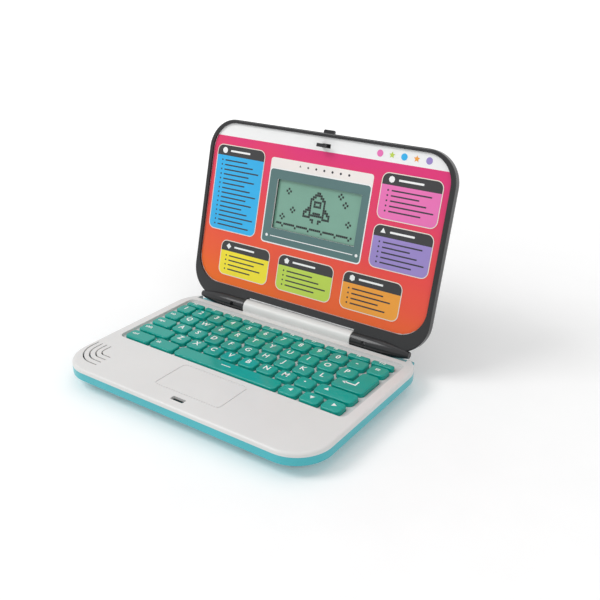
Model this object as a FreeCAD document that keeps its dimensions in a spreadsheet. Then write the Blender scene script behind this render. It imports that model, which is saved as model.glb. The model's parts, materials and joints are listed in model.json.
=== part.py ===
import FreeCAD, Part
import math
import os
import Sketcher

# Toy laptop: a two-shell base with a keyboard, and a hinged lid with a printed panel and a small display.
# X runs to the right, Y to the back and Z up, in millimetres, with the origin on the table.
# Base pieces are drawn about the middle of the base. Lid pieces are drawn in the lid's own frame,
# whose origin is on the hinge axis, with Y up the lid and Z out of the lid's front.

SIZES = {
    # Base shells
    "base_width": 269, "base_depth": 186, "base_front": 94, "base_corner": 32,
    "foot_height": 2, "foot_radius": 7, "foot_inset_x": 34, "foot_inset_y": 30, "foot_seat": 0.6,
    "taper_height": 9, "taper_inset": 14, "band_height": 7.2, "cover_height": 3.8, "cover_round": 2.6,
    "shell_wall": 2.2, "floor_wall": 2.2, "deck_wall": 2.5,
    # Keyboard
    "key_pitch": 20, "row_pitch": 17.2, "key_gap": 2.6, "keys_wide": 12, "letter_row": 31,
    "function_offset": 29.4, "function_depth": 6, "key_proud": 1.6, "key_corner": 4, "key_round": 1.3,
    "key_travel": 1.5, "key_clearance": 0.4, "flange_lip": 0.6, "flange_height": 1, "flange_gap": 0.2,
    "recess_side": 5.5, "recess_front": 1.6, "recess_back": 9, "recess_corner": 6,
    "plate_height": 2, "plate_lap": 2.8, "mat_height": 0.8, "dome_radius": 3, "dome_height": 1.6,
    "dome_gap": 0.3, "board_height": 1.6, "board_inset": 4, "standoff_radius": 3,
    # Palm rest
    "pad_width": 71, "pad_depth": 39, "pad_from_front": 39, "groove_width": 0.9, "groove_depth": 0.5,
    "slot_width": 13.6, "slot_depth": 5, "slot_shift": -0.2,
    "sound_x": 28.4, "sound_y": 36.5, "sound_first": 7, "sound_step": 5.4, "sound_width": 1.3,
    "sound_leg": 8, "speaker_radius": 17, "speaker_rim": 4, "magnet_radius": 9, "magnet_height": 4,
    # Batteries
    "cell_radius": 7.1, "cell_length": 50, "cell_gap": 0.7, "cell_clearance": 0.3, "bay_from_front": 41,
    "bay_wall": 1.6, "contact_height": 0.8, "contact_width": 11, "bay_height": 11, "door_lap": 3,
    "door_clearance": 0.3, "tip_radius": 2.6, "tip_length": 1.2,
    # Case screws
    "screw_shank": 1.3, "screw_head": 2.7, "head_height": 1.8, "tip_gap": 0.8, "screw_clearance": 0.05,
    "boss_radius": 4.4,
    "boss_height": 12, "boss_floor": 4, "front_boss_x": 70, "front_boss_y": 13, "rear_boss_x": 45,
    "rear_boss_y": 12.5,
    # Hinge
    "axis_back": 6, "axis_rise": 2.4, "knuckle_radius": 7.5, "barrel_half": 62, "hinge_gap": 0.5,
    "knuckle_straight": 22, "knuckle_reach": 58, "knuckle_end": 3, "notch_gap": 0.6, "notch_floor_gap": 0.6,
    "pin_radius": 2, "pin_hold": 11, "pin_clearance": 0.05,
    "grub_offset": 14, "grub_head": 1.9, "grub_hole": 2.2, "grub_depth": 6, "grub_seat": 1,
    # Lid
    "lid_open": 105, "lid_height": 180, "lid_corner": 30, "lid_gap": 0.6, "bezel_depth": 4.8,
    "bezel_round": 1.2,
    "back_depth": 8.2, "back_round": 6.5, "back_wall": 2, "back_side": 5, "back_start": 9.2,
    "bezel_side": 4.5, "bezel_top": 3.5, "panel_low": 16, "panel_corner": 26, "panel_lap": 1.5,
    "panel_sunk": 2.1, "panel_height": 1.2, "panel_gap": 0.15, "post_inset": 17, "post_radius": 3.4,
    "lid_head": 1,
    "window_width": 94, "window_height": 47.4, "window_middle": 107, "window_corner": 1.2,
    "gasket_wall": 4, "gasket_height": 1.6, "glass_height": 2, "display_board": 1.2, "display_lap": 7,
    # Latch
    "hook_width": 6, "hook_thick": 3.2, "hook_reach": 8, "hook_from_top": 11.5, "toe_length": 2.8,
    "toe_height": 3.2, "latch_travel": 3, "latch_gap": 0.3, "slider_width": 18, "slider_depth": 9,
    "grip_width": 11, "grip_height": 2.6, "grip_depth": 3.2, "rib_width": 1, "rib_proud": 0.5,
}

doc = FreeCAD.newDocument("toy_laptop")
sheet = doc.addObject("Spreadsheet::Sheet", "Sizes")
for row, (alias, number) in enumerate(SIZES.items(), start=1):
    sheet.set(f"A{row}", alias.replace("_", " "))
    sheet.set(f"B{row}", str(number))
    sheet.setAlias(f"B{row}", alias)
frame = doc.addObject("Spreadsheet::Sheet", "Frame")
frame.set("B1", "0")
frame.setAlias("B1", "shift")
doc.recompute()


class Size:
    """A size from the sheet, or a sum of them: its text for an expression and its number."""

    def __init__(self, text, number):
        self.text = text
        self.number = number

    def join(self, sign, other, number):
        return Size(f"({self.text} {sign} {as_size(other).text})", number)

    def __add__(self, other):
        return self.join("+", other, self.number + as_size(other).number)

    def __sub__(self, other):
        return self.join("-", other, self.number - as_size(other).number)

    def __mul__(self, other):
        return self.join("*", other, self.number * as_size(other).number)

    def __truediv__(self, other):
        return self.join("/", other, self.number / as_size(other).number)

    def __radd__(self, other):
        return as_size(other) + self

    def __rsub__(self, other):
        return as_size(other) - self

    def __rmul__(self, other):
        return as_size(other) * self

    def __neg__(self):
        return Size(f"(0 - {self.text})", -self.number)


def as_size(value):
    return value if isinstance(value, Size) else Size(repr(float(value)), float(value))


def named(alias):
    return Size(f"Sizes.{alias}", float(sheet.get(alias)))


class Named:
    """Gives each size of the sheet by its alias."""

    def __getattr__(self, alias):
        return named(alias)


S = Named()
ZERO = as_size(0)
FRAME_SHIFT = Size("Frame.shift", 0.0)


def bind(thing, path, value):
    thing.setExpression(path, as_size(value).text)


def put(thing, x=0, y=0, z=0):
    """Places an object by expressions."""
    for axis, value in zip("xyz", (x, y, z)):
        bind(thing, f"Placement.Base.{axis}", value)
    return thing


# Part primitives and booleans

def box(name, x_range, y_range, z_range):
    """A box between two values along each axis."""
    thing = doc.addObject("Part::Box", name)
    for side, (low, high) in zip(("Length", "Width", "Height"), (x_range, y_range, z_range)):
        bind(thing, side, as_size(high) - low)
    return put(thing, x_range[0], y_range[0], z_range[0])


def cylinder(name, radius, height, x, y, z, along=None, angle=None):
    """A cylinder from a point, along Z or along the axis named."""
    thing = doc.addObject("Part::Cylinder", name)
    bind(thing, "Radius", radius)
    bind(thing, "Height", height)
    if angle:
        thing.Angle = angle
    turns = {"X": FreeCAD.Rotation(FreeCAD.Vector(0, 1, 0), 90),
             "Y": FreeCAD.Rotation(FreeCAD.Vector(1, 0, 0), -90)}
    if along:
        thing.Placement.Rotation = turns[along]
    return put(thing, x, y, z)


def fused(name, pieces):
    thing = doc.addObject("Part::MultiFuse", name)
    thing.Shapes = pieces
    return thing


def grouped(name, pieces):
    thing = doc.addObject("Part::Compound", name)
    thing.Links = pieces
    return thing


def cut(name, base, tools):
    """A piece less the tools."""
    thing = doc.addObject("Part::Cut", name)
    thing.Base = base
    thing.Tool = tools[0] if len(tools) == 1 else grouped(f"{name}_tools", tools)
    return thing


# Sketches and PartDesign features

def new_body(name):
    return doc.addObject("PartDesign::Body", name)


def new_sketch(body, role, x=0, y=0, z=0):
    """An empty sketch on one of the body's own planes, moved by expressions."""
    sketch = body.newObject("Sketcher::SketchObject", f"{body.Name}_sketch")
    plane = next(item for item in body.Origin.OriginFeatures if item.Role == role)
    sketch.AttachmentSupport = [(plane, "")]
    sketch.MapMode = "FlatFace"
    for axis, value in zip("xyz", (x, y, z)):
        if isinstance(value, Size):
            bind(sketch, f"AttachmentOffset.Base.{axis}", value)
    return sketch


def constrain(sketch, relations, dimensions):
    """Adds a sketch's relations, then its dimensions, each bound to a size."""
    sizes = [as_size(value) for *_, value in dimensions]
    measured = [Sketcher.Constraint(*words, size.number) for (*words, _), size in zip(dimensions, sizes)]
    first = sketch.ConstraintCount + len(relations)
    sketch.addConstraint([Sketcher.Constraint(*words) for words in relations] + measured)
    for index, size in enumerate(sizes, start=first):
        sketch.setExpression(f"Constraints[{index}]", size.text)


def rounded(body, width, depth, corner, x=0, y=0, z=0):
    """A sketch of a rectangle with round corners, about the point given."""
    sketch = new_sketch(body, "XY_Plane", x, y, z)
    draw_rounded(sketch, width, depth, corner)
    return sketch


def draw_rounded(sketch, width, depth, corner):
    """Draws the four sides and four corner arcs, counter-clockwise from the front side."""
    right, back, radius = width.number / 2, depth.number / 2, corner.number
    points = [(-right + radius, -back), (right - radius, -back), (right, -back + radius),
              (right, back - radius),
              (right - radius, back), (-right + radius, back), (-right, back - radius),
              (-right, -back + radius)]
    centres = [(right - radius, -back + radius), (right - radius, back - radius),
               (-right + radius, back - radius), (-right + radius, -back + radius)]
    up = FreeCAD.Vector(0, 0, 1)
    first = sketch.GeometryCount
    lines_and_arcs = []
    for side in range(4):
        start, end = points[2 * side], points[2 * side + 1]
        lines_and_arcs.append(Part.LineSegment(FreeCAD.Vector(*start, 0), FreeCAD.Vector(*end, 0)))
        circle = Part.Circle(FreeCAD.Vector(*centres[side], 0), up, radius)
        lines_and_arcs.append(Part.ArcOfCircle(circle, (side - 1) * math.pi / 2, side * math.pi / 2))
    sketch.addGeometry(lines_and_arcs)
    relations = [("Tangent", first + item, 2, first + (item + 1) % 8, 1) for item in range(8)]
    relations += [("Horizontal" if side % 2 == 0 else "Vertical", first + 2 * side) for side in range(4)]
    relations += [("Equal", first + 1, first + 1 + 2 * side) for side in range(1, 4)]
    relations += [("Symmetric", first + 1, 3, first + 5, 3, -1, 1)]
    constrain(sketch, relations, [("Radius", first + 1, corner),
                                  ("DistanceX", first + 5, 3, first + 3, 3, width - corner * 2),
                                  ("DistanceY", first + 1, 3, first + 3, 3, depth - corner * 2)])


def circles(body, radius, places, z):
    """A sketch of equal circles at the places given."""
    sketch = new_sketch(body, "XY_Plane", 0, 0, z)
    up = FreeCAD.Vector(0, 0, 1)
    sketch.addGeometry([Part.Circle(FreeCAD.Vector(as_size(x).number, as_size(y).number, 0), up,
                                    radius.number)
                        for x, y in places])
    dimensions = [("Radius", 0, radius)]
    for item, (x, y) in enumerate(places):
        dimensions += [("DistanceX", -1, 1, item, 3, x), ("DistanceY", -1, 1, item, 3, y)]
    constrain(sketch, [("Equal", 0, item) for item in range(1, len(places))], dimensions)
    return sketch


def feature(body, kind, sketch, length=None, down=False):
    """A Pad or a Pocket of a sketch. A Pad goes up and a Pocket down unless turned."""
    thing = body.newObject(f"PartDesign::{kind}", f"{body.Name}_{kind.lower()}")
    thing.Profile = sketch
    thing.Reversed = down
    bind(thing, "Length", length)
    body.Tip = thing
    return thing


def pad(body, sketch, height, down=False):
    return feature(body, "Pad", sketch, height, down)


def pocket(body, sketch, depth, up=False):
    return feature(body, "Pocket", sketch, depth, up)


def repeat(body, original, sketch, step, count):
    """Repeats a feature along the sketch's first axis."""
    pattern = body.newObject("PartDesign::LinearPattern", f"{body.Name}_pattern")
    pattern.Originals = [original]
    pattern.Direction = (sketch, ["H_Axis"])
    bind(pattern, "Length", step * (count - 1))
    pattern.Occurrences = count
    body.Tip = pattern
    return pattern


def mirror(body, originals):
    """Mirrors features to the other side of the body's middle plane."""
    twin = body.newObject("PartDesign::Mirrored", f"{body.Name}_mirror")
    twin.Originals = originals
    twin.MirrorPlane = (next(item for item in body.Origin.OriginFeatures if item.Role == "YZ_Plane"), [""])
    body.Tip = twin
    return twin


def round_edges(body, radius, level):
    """Rounds every edge of the body that lies at one height."""
    solid = body.Tip
    if solid.Shape.isNull():
        doc.recompute()
    names = [f"Edge{index}" for index, edge in enumerate(solid.Shape.Edges, start=1)
             if all(abs(point.Z - level) < 0.01 for point in edge.Vertexes)]
    thing = body.newObject("PartDesign::Fillet", f"{body.Name}_fillet")
    thing.Base = (solid, names)
    bind(thing, "Radius", radius)
    body.Tip = thing


# Levels and places that pieces share

shell_low = S.foot_height
band_low = shell_low + S.taper_height
cover_low = band_low + S.band_height
deck_top = cover_low + S.cover_height
deck_under = deck_top - S.deck_wall
floor_top = shell_low + S.floor_wall
base_middle = S.base_depth / 2 - S.base_front
base_rear = S.base_depth - S.base_front
axis_y = base_rear - S.axis_back
axis_z = deck_top + S.axis_rise
plate_top = deck_under
plate_under = plate_top - S.plate_height
key_top = deck_top + S.key_proud
flange_top = plate_under - S.flange_gap
flange_under = flange_top - S.flange_height
dome_top = flange_under - S.key_travel - S.dome_gap
mat_under = dome_top - S.dome_height - S.mat_height
board_under = mat_under - S.board_height
block_width = S.key_pitch * S.keys_wide
front_row = S.letter_row - S.row_pitch * 3
function_row = S.letter_row + S.function_offset
key_depth = S.row_pitch - S.key_gap
recess_low = front_row - key_depth / 2 - S.recess_front
recess_high = function_row + S.function_depth / 2 + S.recess_back
recess_width = block_width - S.key_gap + S.recess_side * 2
recess_depth = recess_high - recess_low
recess_middle = (recess_high + recess_low) / 2
notch_front = axis_y - S.knuckle_radius - S.notch_gap
notch_floor = axis_z - S.knuckle_radius - S.notch_floor_gap
notch_in = S.barrel_half
notch_out = S.barrel_half + S.hinge_gap + S.knuckle_reach + S.notch_gap
lid_front = S.axis_rise - S.lid_gap
lid_split = lid_front - S.bezel_depth
lid_rear = lid_split - S.back_depth
panel_front = lid_front - S.panel_sunk
panel_rear = panel_front - S.panel_height
hook_y = S.lid_height - S.hook_from_top
slot_y = axis_y - hook_y
nodes = {}


def base_node(label, thing, x=0, y=0, z=0):
    """Hands in a piece of the base, moved to the frame's origin."""
    thing.Label = label
    nodes[label] = put(thing, x, as_size(y) + FRAME_SHIFT, z)


def lid_node(label, thing):
    """Hands in a piece of the lid, turned to the open lid's angle about the hinge axis."""
    thing.Label = label
    thing.Placement.Rotation = FreeCAD.Rotation(FreeCAD.Vector(1, 0, 0), 0)
    thing.setExpression("Placement.Rotation", f"rotation(vector(1; 0; 0); 180 - {S.lid_open.text})")
    nodes[label] = put(thing, 0, axis_y + FRAME_SHIFT, axis_z)


# Keyboard layout: each run is a row, its start and its key width in key pitches, and its names

ROW_Y = {"numbers": S.letter_row + S.row_pitch, "upper": S.letter_row, "home": S.letter_row - S.row_pitch,
         "lower": S.letter_row - S.row_pitch * 2, "front": front_row, "functions": function_row}
RUNS = [
    ("functions", 0, 1.2, ["function"] * 10),
    ("numbers", 0, 1, ["number"] * 12),
    ("upper", 0, 1, ["key_tab"]),
    ("upper", 1, 1, [f"key_{letter}" for letter in "qwertyuiop"]),
    ("home", 0, 1.3, ["key_caps"]),
    ("home", 1.3, 1, [f"key_{letter}" for letter in "asdfghjkl"]),
    ("lower", 0, 2, ["key_shift_left"]),
    ("lower", 2, 1, [f"key_{letter}" for letter in "zxcvbnm"] + ["key_point"]),
    ("lower", 10, 2, ["key_shift_right"]),
    ("front", 0, 1.55, ["key_control"]),
    ("front", 1.55, 1.5, ["key_alt"]),
    ("front", 3.05, 5.75, ["key_space"]),
    ("front", 8.8, 1.05, ["key_left", "key_down", "key_right"]),
]
ENTER_LOW = (10.3, 1.7)
ENTER_HIGH = (11, 1)


def run_depth(row):
    return S.function_depth if row == "functions" else key_depth


def run_width(cells):
    return S.key_pitch * cells - S.key_gap


def run_x(start, cells, index):
    """The middle of a key in a run."""
    return S.key_pitch * (start + cells * (index + 0.5)) - block_width / 2


# Bottom shell: a tapered tray with a straight band, screw bosses, a battery bay and a hinge shelf

def outline(body, inset, z):
    return rounded(body, S.base_width - as_size(inset) * 2, S.base_depth - as_size(inset) * 2,
                   S.base_corner - as_size(inset), 0, base_middle, z)


def loft(body, kind, low, high):
    thing = body.newObject(f"PartDesign::{kind}", f"{body.Name}_loft")
    thing.Profile = low
    thing.Sections = [high]
    thing.Ruled = True
    body.Tip = thing


boss_places = [(side * x, y) for x, y in ((S.front_boss_x, S.front_boss_y - S.base_front),
                                          (S.rear_boss_x, base_rear - S.rear_boss_y)) for side in (1, -1)]
boss_top = floor_top + S.boss_height
bay_pitch = S.cell_radius * 2 + S.cell_gap
bay_middle = S.bay_from_front - S.base_front
bay_length = S.cell_length + S.tip_length + S.contact_height * 2 + S.cell_clearance * 2
bay_depth = bay_pitch * 3 + S.cell_clearance * 2
cell_z = floor_top + S.cell_clearance + S.cell_radius
standoffs = [(side * (block_width / 2 - S.standoff_radius * 3), y)
             for y in (front_row, function_row) for side in (-1, 1)]


def bottom_shell():
    body = new_body("tray")
    loft(body, "AdditiveLoft", outline(body, S.taper_inset, shell_low), outline(body, 0, band_low))
    pad(body, outline(body, 0, band_low), S.band_height)
    loft(body, "SubtractiveLoft", outline(body, S.taper_inset, floor_top),
         outline(body, S.shell_wall, band_low))
    pocket(body, outline(body, S.shell_wall, band_low), S.band_height, up=True)
    pad(body, circles(body, S.boss_radius, boss_places, z=floor_top), S.boss_height)
    pad(body, circles(body, S.standoff_radius, standoffs, z=floor_top), board_under - floor_top)
    bay = rounded(body, bay_length + S.bay_wall * 2, bay_depth + S.bay_wall * 2, S.bay_wall, 0, bay_middle,
                  floor_top)
    pad(body, bay, S.bay_height)
    pocket(body, rounded(body, bay_length, bay_depth, S.bay_wall / 2, 0, bay_middle, floor_top),
           S.bay_height, up=True)
    pocket(body, rounded(body, bay_length - S.door_lap, bay_depth - S.door_lap, S.bay_wall, 0, bay_middle,
                         shell_low),
           S.floor_wall, up=True)
    door_hole = rounded(body, bay_length + S.door_lap, bay_depth + S.door_lap, S.bay_wall, 0, bay_middle,
                        shell_low)
    pocket(body, door_hole, S.floor_wall / 2, up=True)
    pocket(body, circles(body, S.screw_shank + S.screw_clearance, boss_places, z=shell_low),
           S.floor_wall + S.boss_height, up=True)
    pocket(body, circles(body, S.screw_head + S.screw_clearance, boss_places, z=shell_low),
           S.floor_wall + S.boss_floor, up=True)
    return body


def hinge_shelf(side):
    """The floor of the trough that a knuckle turns in."""
    x_range = sided(side, notch_in - S.shell_wall, notch_out + S.shell_wall)
    return box("shelf", x_range, (notch_front - S.shell_wall, base_rear - S.shell_wall / 2),
               (notch_floor - S.shell_wall, notch_floor))


def sided(side, low, high):
    """A range on the right, or mirrored on the left."""
    return (low, high) if side > 0 else (-high, -low)


def notch(name, side, low):
    return box(name, sided(side, notch_in, notch_out), (notch_front, base_rear + S.axis_back),
               (low, deck_top + S.axis_rise))


def feet_places():
    x = S.base_width / 2 - S.foot_inset_x
    return [(side * x, y) for y in (S.foot_inset_y - S.base_front, base_rear - S.foot_inset_y)
            for side in (-1, 1)]


shell_solid = fused("tray_with_shelves", [bottom_shell(), hinge_shelf(1), hinge_shelf(-1)])
foot_seats = [cylinder("foot_seat", S.foot_radius + S.key_clearance, S.foot_seat, x, y, shell_low)
              for x, y in feet_places()]
base_node("bottom_shell",
          cut("shell", shell_solid, [notch("notch", 1, notch_floor), notch("notch", -1, notch_floor)]
                              + foot_seats))
base_node("rubber_feet",
          grouped("feet", [cylinder("foot", S.foot_radius, S.foot_height + S.foot_seat, x, y, 0)
                                          for x, y in feet_places()]))


# Top cover: the deck with its skirt, keyboard opening, touchpad line, latch slot, sound slots and barrel

def deck():
    body = new_body("deck")
    pad(body, outline(body, 0, cover_low), S.cover_height)
    round_edges(body, S.cover_round, deck_top.number)
    pocket(body, outline(body, S.shell_wall, cover_low), S.cover_height - S.deck_wall, up=True)
    opening = rounded(body, recess_width, recess_depth, S.recess_corner, 0, recess_middle, deck_top)
    pocket(body, opening, S.deck_wall)
    line = rounded(body, S.pad_width, S.pad_depth, S.key_corner, 0, S.pad_from_front - S.base_front, deck_top)
    draw_rounded(line, S.pad_width - S.groove_width * 2, S.pad_depth - S.groove_width * 2,
                 S.key_corner - S.groove_width)
    pocket(body, line, S.groove_depth)
    pocket(body, rounded(body, S.slot_width, S.slot_depth, S.recess_corner / 6, S.slot_shift, slot_y,
                         deck_top), S.deck_wall)
    pad(body, circles(body, S.boss_radius, boss_places, z=boss_top), deck_under - boss_top)
    pocket(body, circles(body, S.screw_shank + S.screw_clearance, boss_places, z=boss_top),
           deck_under - boss_top, up=True)
    return body


def sound_slot(index):
    """One bent slot of the speaker's grille: a quarter ring with a leg at each end."""
    x, y = S.sound_x - S.base_width / 2, S.sound_y - S.base_front
    middle = S.sound_first + S.sound_step * index
    inner, outer = middle - S.sound_width / 2, middle + S.sound_width / 2
    low, high = deck_under, deck_top + S.cover_height
    ring = cut("ring", cylinder("outer", outer, high - low, x, y, low, angle=90),
               [cylinder("inner", inner, high - low, x, y, low, angle=90)])
    for part in (ring.Base, ring.Tool):
        part.Placement.Rotation = FreeCAD.Rotation(FreeCAD.Vector(0, 0, 1), 180)
    side_leg = box("side_leg", (x - outer, x - inner), (y, y + S.sound_leg), (low, high))
    front_leg = box("front_leg", (x, x + S.sound_leg), (y - outer, y - inner), (low, high))
    return [ring, side_leg, front_leg]


def top_cover():
    barrel = cylinder("barrel", S.knuckle_radius, S.barrel_half * 2, -S.barrel_half, axis_y, axis_z,
                      along="X")
    below = box("below_barrel", (-S.base_width, S.base_width),
                (notch_front - S.axis_back, base_rear + S.base_depth),
                (0, cover_low))
    round_bar = cut("barrel_bar", barrel, [below])
    aprons = [box("apron", sided(side, notch_in - S.shell_wall, notch_out + S.shell_wall),
                  (notch_front - S.shell_wall, notch_front), (notch_floor, deck_under)) for side in (1, -1)]
    solid = fused("deck_and_barrel", [deck(), round_bar] + aprons)
    bores = [cylinder("bore", S.pin_radius + S.pin_clearance, S.pin_hold + S.pin_clearance, x, axis_y,
                      axis_z, along="X")
             for x in (S.barrel_half - S.pin_hold - S.pin_clearance, -S.barrel_half)]
    slots = [piece for index in range(4) for piece in sound_slot(index)]
    return cut("cover", solid,
               [notch("gap", 1, cover_low - S.cover_height), notch("gap", -1, cover_low - S.cover_height)]
               + bores + slots)


base_node("top_cover", top_cover())


# Keyboard: the plate with a window for each key, the keys, the dome mat and the circuit board

def keyboard_plate():
    body = new_body("plate")
    pad(body, rounded(body, recess_width + S.plate_lap * 2, recess_depth + S.plate_lap, S.recess_corner, 0,
                      recess_middle, plate_under), S.plate_height)
    for row, start, cells, names in RUNS + [("home", *ENTER_LOW, [""]), ("upper", *ENTER_HIGH, [""])]:
        depth = run_depth(row)
        window = rounded(body, run_width(cells) + S.key_clearance * 2, depth + S.key_clearance * 2,
                         window_corner(row), run_x(start, cells, 0), ROW_Y[row], plate_top)
        hole = pocket(body, window, S.plate_height)
        if len(names) > 1:
            repeat(body, hole, window, S.key_pitch * cells, len(names))
    bridge = rounded(body, run_width(ENTER_HIGH[1]) + S.key_clearance * 2, S.row_pitch + S.key_corner,
                     S.key_corner / 8, run_x(*ENTER_HIGH, 0), S.letter_row - S.row_pitch / 2, plate_top)
    pocket(body, bridge, S.plate_height)
    return body


def window_corner(row):
    return key_corner(row) + S.key_clearance


def key_corner(row):
    return S.key_corner / 2 if row == "functions" else S.key_corner


def key_body(name, width, depth, corner):
    """A key: a flange that stops under the plate and a cap with a rounded top, about its own middle."""
    body = new_body(name)
    pad(body, rounded(body, width + S.flange_lip * 2, depth + S.flange_lip * 2, corner), S.flange_height)
    pad(body, rounded(body, width, depth, corner, z=S.flange_height / 2),
        key_top - flange_under - S.flange_height / 2)
    return body


def finish_key(body):
    round_edges(body, S.key_round, (key_top - flange_under).number)


def enter_key():
    """The key that spans two rows: a wide foot in the home row and a narrow head in the row above."""
    body = new_body("key_enter")
    shift = run_x(*ENTER_HIGH, 0) - run_x(*ENTER_LOW, 0)
    head_depth = key_depth + S.row_pitch
    for lip, low, height in ((S.flange_lip, ZERO, S.flange_height),
                             (ZERO, S.flange_height / 2, key_top - flange_under - S.flange_height / 2)):
        pad(body, rounded(body, run_width(ENTER_LOW[1]) + lip * 2, key_depth + lip * 2, S.key_corner, z=low),
            height)
        pad(body, rounded(body, run_width(ENTER_HIGH[1]) + lip * 2, head_depth + lip * 2, S.key_corner, shift,
                          S.row_pitch / 2, low), height)
    return body


def keys():
    """Every key in its place. The two rows of small keys are handed in a row at a time."""
    rows = {"function": [], "number": []}
    placed = []
    for row, start, cells, names in RUNS:
        for index, name in enumerate(names):
            body = key_body(name, run_width(cells), run_depth(row), key_corner(row))
            placed.append((name, body, run_x(start, cells, index), ROW_Y[row]))
    placed.append(("key_enter", enter_key(), run_x(*ENTER_LOW, 0), ROW_Y["home"]))
    for name, body, x, y in placed:
        finish_key(body)
        if name in rows:
            rows[name].append(put(body, x, y, flange_under))
        else:
            base_node(name, body, x, y, flange_under)
    for name, bodies in rows.items():
        base_node(f"{name}_keys", grouped(f"{name}_row", bodies))


def dome_mat():
    """A sheet with a dome under each key."""
    body = new_body("mat")
    width = block_width - S.board_inset * 2
    pad(body, rounded(body, width, recess_depth - S.board_inset * 2, S.key_corner, 0, recess_middle,
                      mat_under), S.mat_height)
    for row, start, cells, names in RUNS + [("home", *ENTER_LOW, [""])]:
        sketch = new_sketch(body, "XY_Plane", run_x(start, cells, 0), ROW_Y[row], mat_under)
        sketch.addGeometry(Part.Circle(FreeCAD.Vector(0, 0, 0), FreeCAD.Vector(0, 0, 1),
                                       S.dome_radius.number))
        constrain(sketch, [("Coincident", 0, 3, -1, 1)], [("Radius", 0, S.dome_radius)])
        dome = pad(body, sketch, S.mat_height + S.dome_height)
        if len(names) > 1:
            repeat(body, dome, sketch, S.key_pitch * cells, len(names))
    return body


def main_board():
    body = new_body("board")
    width = block_width - S.board_inset * 2
    pad(body,
        rounded(body, width, recess_depth - S.board_inset * 2, S.key_corner, 0, recess_middle, board_under),
        S.board_height)
    chip = rounded(body, S.key_pitch, S.key_pitch, S.key_corner, 0, recess_middle, board_under)
    pad(body, chip, S.board_height, down=True)
    return body


base_node("keyboard_plate", keyboard_plate())
keys()
base_node("dome_mat", dome_mat())
base_node("main_board", main_board())


# Speaker, batteries and fasteners of the base

def speaker():
    x, y = S.sound_x - S.base_width / 2, S.sound_y - S.base_front
    rim = cylinder("rim", S.speaker_radius, S.speaker_rim, x, y, deck_under - S.speaker_rim)
    magnet = cylinder("magnet", S.magnet_radius, S.magnet_height, x, y,
                      deck_under - S.speaker_rim - S.magnet_height)
    return fused("driver", [rim, magnet])


def battery_cells():
    """Three cells side by side along the base's width, each with its raised tip."""
    cells = []
    start = S.contact_height + S.cell_clearance - bay_length / 2
    for index in range(3):
        y = bay_middle + bay_pitch * (index - 1)
        can = cylinder("can", S.cell_radius, S.cell_length, start, y, cell_z, along="X")
        tip = cylinder("tip", S.tip_radius, S.tip_length, start + S.cell_length, y, cell_z, along="X")
        cells.append(fused("cell", [can, tip]))
    return grouped("cells", cells)


def battery_contacts():
    plates = []
    for low in (-bay_length / 2, bay_length / 2 - S.contact_height):
        for index in range(3):
            y = bay_middle + bay_pitch * (index - 1)
            plates.append(box("contact", (low, low + S.contact_height),
                              (y - S.contact_width / 2, y + S.contact_width / 2),
                              (floor_top, floor_top + S.contact_width)))
    return grouped("contacts", plates)


def battery_door():
    body = new_body("door")
    gap = S.door_clearance * 2
    pad(body, rounded(body, bay_length + S.door_lap - gap, bay_depth + S.door_lap - gap,
                      S.bay_wall - S.door_clearance, 0,
                      bay_middle, shell_low), S.floor_wall / 2)
    pad(body, rounded(body, bay_length - S.door_lap - gap, bay_depth - S.door_lap - gap,
                      S.bay_wall - S.door_clearance, 0,
                      bay_middle, shell_low), S.floor_wall)
    return body


def case_screws():
    screws = []
    seat = floor_top + S.boss_floor
    for x, y in boss_places:
        head = cylinder("head", S.screw_head, S.head_height, x, y, seat - S.head_height)
        shank = cylinder("shank", S.screw_shank, deck_under - seat - S.tip_gap, x, y, seat)
        screws.append(fused("screw", [head, shank]))
    return grouped("screws", screws)


base_node("speaker", speaker())
base_node("battery_cells", battery_cells())
base_node("battery_contacts", battery_contacts())
base_node("battery_door", battery_door())
base_node("case_screws", case_screws())


# Lid: the bezel with its knuckles, the back shell, the printed panel and the display

def lid_outline(body, inset, z):
    inset = as_size(inset)
    return rounded(body, S.base_width - inset * 2, S.lid_height - inset * 2, S.lid_corner - inset, 0,
                   S.lid_height / 2, z)


def panel_outline(body, grow, z):
    """The panel's outline, grown beyond the part that shows."""
    grow = as_size(grow)
    depth = S.lid_height - S.bezel_top - S.panel_low
    return rounded(body, S.base_width - S.bezel_side * 2 + grow * 2, depth + grow * 2, S.panel_corner + grow,
                   0,
                   S.panel_low + depth / 2, z)


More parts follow.
